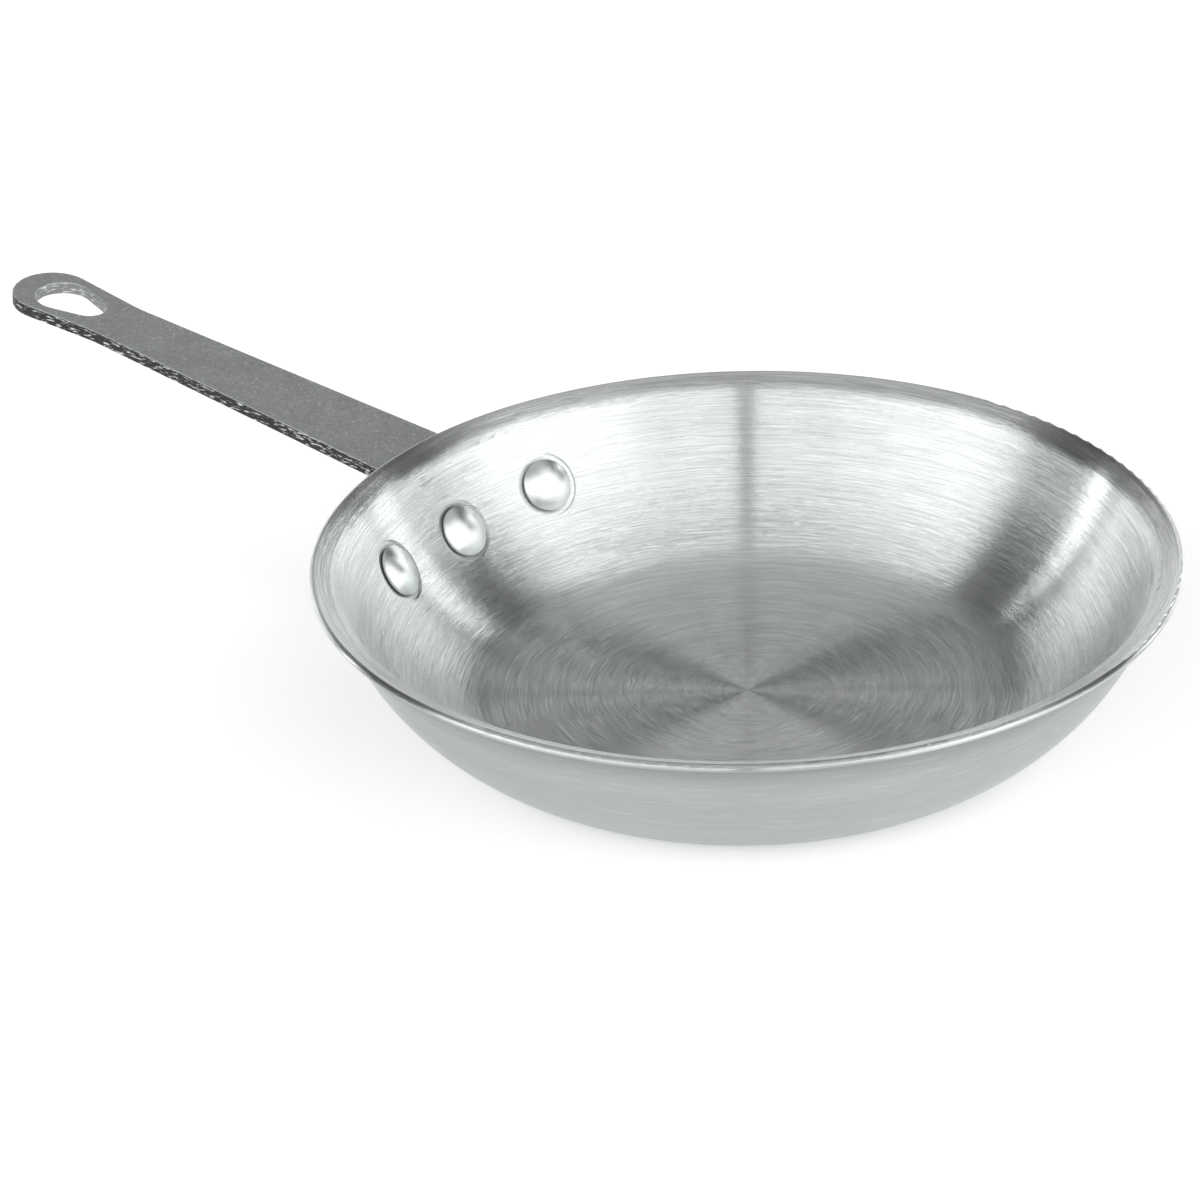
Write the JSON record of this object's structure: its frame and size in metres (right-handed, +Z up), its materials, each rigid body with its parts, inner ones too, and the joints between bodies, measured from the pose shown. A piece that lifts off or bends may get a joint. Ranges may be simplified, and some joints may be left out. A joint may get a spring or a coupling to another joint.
{
  "type": "omelette pan",
  "caption": "Shallow round frying pan with sloping walls and a flared lip, a flat steel handle with a hanging hole, riveted on through the wall.",
  "frame": {"origin": "centre of the flat base, on the plane the pan stands on", "axes": "+Z up out of the bowl, +X along the handle away from the bowl; symmetric about the XZ plane"},
  "size_m": [0.3335, 0.2032, 0.0523],
  "materials": {
    "pan_aluminium": "spun and brushed round the axis, inside and out",
    "handle_steel": "rough plated steel, matte with a fine pitted texture",
    "rivet_aluminium": "smooth, softly polished"
  },
  "bodies": {
    "root": {"pan_body": "pan_aluminium", "handle": "handle_steel", "rivet_left": "rivet_aluminium", "rivet_middle": "rivet_aluminium", "rivet_right": "rivet_aluminium"}
  },
  "joints": []
}
